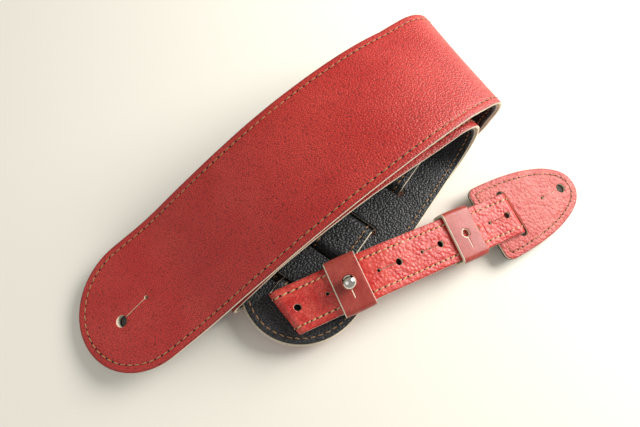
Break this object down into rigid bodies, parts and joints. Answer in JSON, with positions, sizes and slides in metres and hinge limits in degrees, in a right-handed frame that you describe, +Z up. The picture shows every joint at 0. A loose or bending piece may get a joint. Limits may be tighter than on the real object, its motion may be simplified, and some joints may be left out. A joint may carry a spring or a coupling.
{
  "type": "guitar strap",
  "caption": "Rolled leather guitar strap with a wide padded band, a woven adjustable tail, keepers, a ball stud and a button end tab.",
  "frame": {"origin": "bottom centre of the bounding box of the rolled strap as it lies on a table", "axes": "+Z up; +X along the longest side of the bounding box, from the wide strap's button hole end towards the end tab; +Y away from the tail, towards the wide strap's outer fold"},
  "size_m": [0.2774, 0.2158, 0.0654],
  "materials": {
    "red_leather": "grained, semi-matt",
    "tail_red_leather": "pebbled, semi-gloss",
    "keeper_leather": "smooth, semi-gloss",
    "black_leather": "pebbled, semi-gloss",
    "padding": "matt foam",
    "cream_thread": "waxed thread",
    "tan_thread": "waxed thread",
    "polished_metal": "polished"
  },
  "bodies": {
    "wide_strap": {"strap_face": "red_leather", "strap_padding": "padding", "strap_backing": "black_leather", "strap_end_face": "red_leather", "strap_end_padding": "padding", "strap_end_backing": "black_leather", "strap_face_thread": "cream_thread", "strap_back_thread": "tan_thread", "tail_woven_face": "tail_red_leather", "tail_woven_backing": "black_leather", "tail_fold_face": "tail_red_leather", "tail_fold_backing": "black_leather"},
    "tail": {"tail_run_face": "tail_red_leather", "tail_run_backing": "black_leather", "tail_run_thread": "cream_thread", "tail_return_face": "tail_red_leather", "tail_return_backing": "black_leather", "stud_keeper": "keeper_leather", "stud_screw": "polished_metal"},
    "stud": {"stud_ball": "polished_metal"},
    "slider": {"sliding_keeper": "keeper_leather"},
    "end_tab": {"tail_loop_face": "tail_red_leather", "tail_loop_backing": "black_leather", "tail_loop_thread": "cream_thread", "tab_face": "tail_red_leather", "tab_backing": "black_leather", "tab_thread": "cream_thread"}
  },
  "joints": [
    {"name": "tail_lift", "type": "hinge", "parent": "wide_strap", "child": "tail", "pos_m": [-0.02631, -0.06865, 0.01691], "axis": [0.709, -0.7052, 0], "range_deg": [0, 60], "deforming": ["tail_fold_face", "tail_fold_backing"]},
    {"name": "stud_spin", "type": "hinge", "parent": "tail", "child": "stud", "pos_m": [0.00257, -0.0534, 0.02334], "axis": [-0.1131, -0.0653, 0.9914], "continuous": true},
    {"name": "keeper_slide", "type": "slide", "parent": "tail", "child": "slider", "axis": [-0.8538, -0.493, 0.1672], "range_m": [0, 0.007]},
    {"name": "tab_lift", "type": "hinge", "parent": "tail", "child": "end_tab", "pos_m": [0.0764, -0.01102, 0.01038], "axis": [0.4868, -0.8699, -0.0788], "range_deg": [0, 30], "deforming": ["tail_loop_face", "tail_loop_backing", "tail_loop_thread"]}
  ]
}
